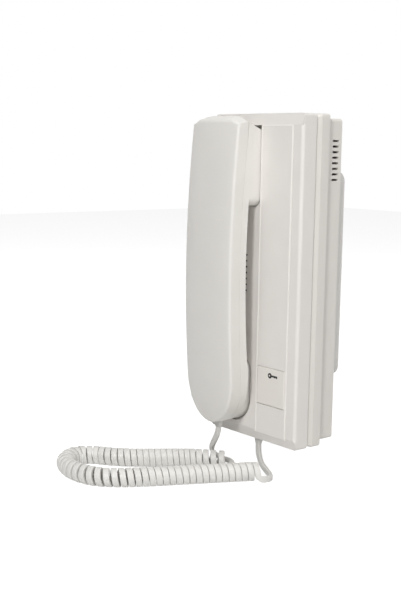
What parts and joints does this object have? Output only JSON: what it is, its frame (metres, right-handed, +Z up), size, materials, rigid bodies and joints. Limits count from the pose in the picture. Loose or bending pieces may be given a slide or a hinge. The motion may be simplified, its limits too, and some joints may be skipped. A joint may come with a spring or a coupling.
{
  "type": "door intercom handset station",
  "caption": "Wall-hung door intercom: bevelled station with a lift-off corded handset, a door button, side vents and a curly cord.",
  "frame": {"origin": "centre of the two wall screw holes, on the wall plate's back face", "axes": "+Z up, -Y out of the wall towards the user, +X to the right as the user faces the station"},
  "size_m": [0.137, 0.1563, 0.2454],
  "materials": {
    "cover_plastic": "fine satin texture",
    "housing_plastic": "fine satin texture",
    "handset_plastic": "satin",
    "button_plastic": "satin",
    "plate_plastic": "matte",
    "cord_jacket": "satin",
    "relief_rubber": "matte",
    "screw_steel": "zinc plated",
    "board_laminate": "lacquered",
    "switch_plastic": "matte",
    "plunger_plastic": "satin",
    "core_steel": "laminated",
    "winding_tape": "taped",
    "capacitor_sleeve": "shrink sleeve",
    "terminal_plastic": "matte",
    "capsule_plastic": "matte",
    "gasket_foam": "foam",
    "capsule_aluminium": "satin",
    "boot_rubber": "matte",
    "weight_steel": "raw"
  },
  "bodies": {
    "station": {"front_cover": "cover_plastic", "rear_housing": "housing_plastic", "wall_plate": "plate_plastic", "cover_screws": "screw_steel", "main_board": "board_laminate", "board_screws": "screw_steel", "hook_switch": "switch_plastic", "button_switch": "switch_plastic", "transformer_core": "core_steel", "transformer_winding": "winding_tape", "capacitors": "capacitor_sleeve", "terminal_block": "terminal_plastic", "terminal_screws": "screw_steel", "sounder": "capsule_plastic", "base_strain_relief": "relief_rubber", "curly_cord": "cord_jacket", "cord_base_lead": "cord_jacket", "cord_handset_lead": "cord_jacket"},
    "handset": {"handset_outer_shell": "handset_plastic", "handset_inner_shell": "handset_plastic", "handset_screws": "screw_steel", "earpiece_receiver": "capsule_plastic", "receiver_gasket": "gasket_foam", "microphone_boot": "boot_rubber", "microphone_capsule": "capsule_aluminium", "ballast_weight": "weight_steel", "handset_strain_relief": "relief_rubber"},
    "button": {"door_button": "button_plastic", "switch_pin": "plunger_plastic"},
    "hook": {"hook_plunger": "plunger_plastic"}
  },
  "joints": [
    {"name": "handset_lift", "type": "slide", "parent": "station", "child": "handset", "axis": [0, -1, 0], "range_m": [0, 0.08]},
    {"name": "button_press", "type": "slide", "parent": "station", "child": "button", "axis": [0, 1, 0], "range_m": [0, 0.0015], "stiffness_N_per_m": 1200},
    {"name": "hook_rise", "type": "slide", "parent": "station", "child": "hook", "axis": [0, -1, 0], "range_m": [0, 0.004]}
  ],
  "couplings": [
    {"joint": "hook_rise", "follows": "handset_lift", "ratio": 0.05}
  ]
}
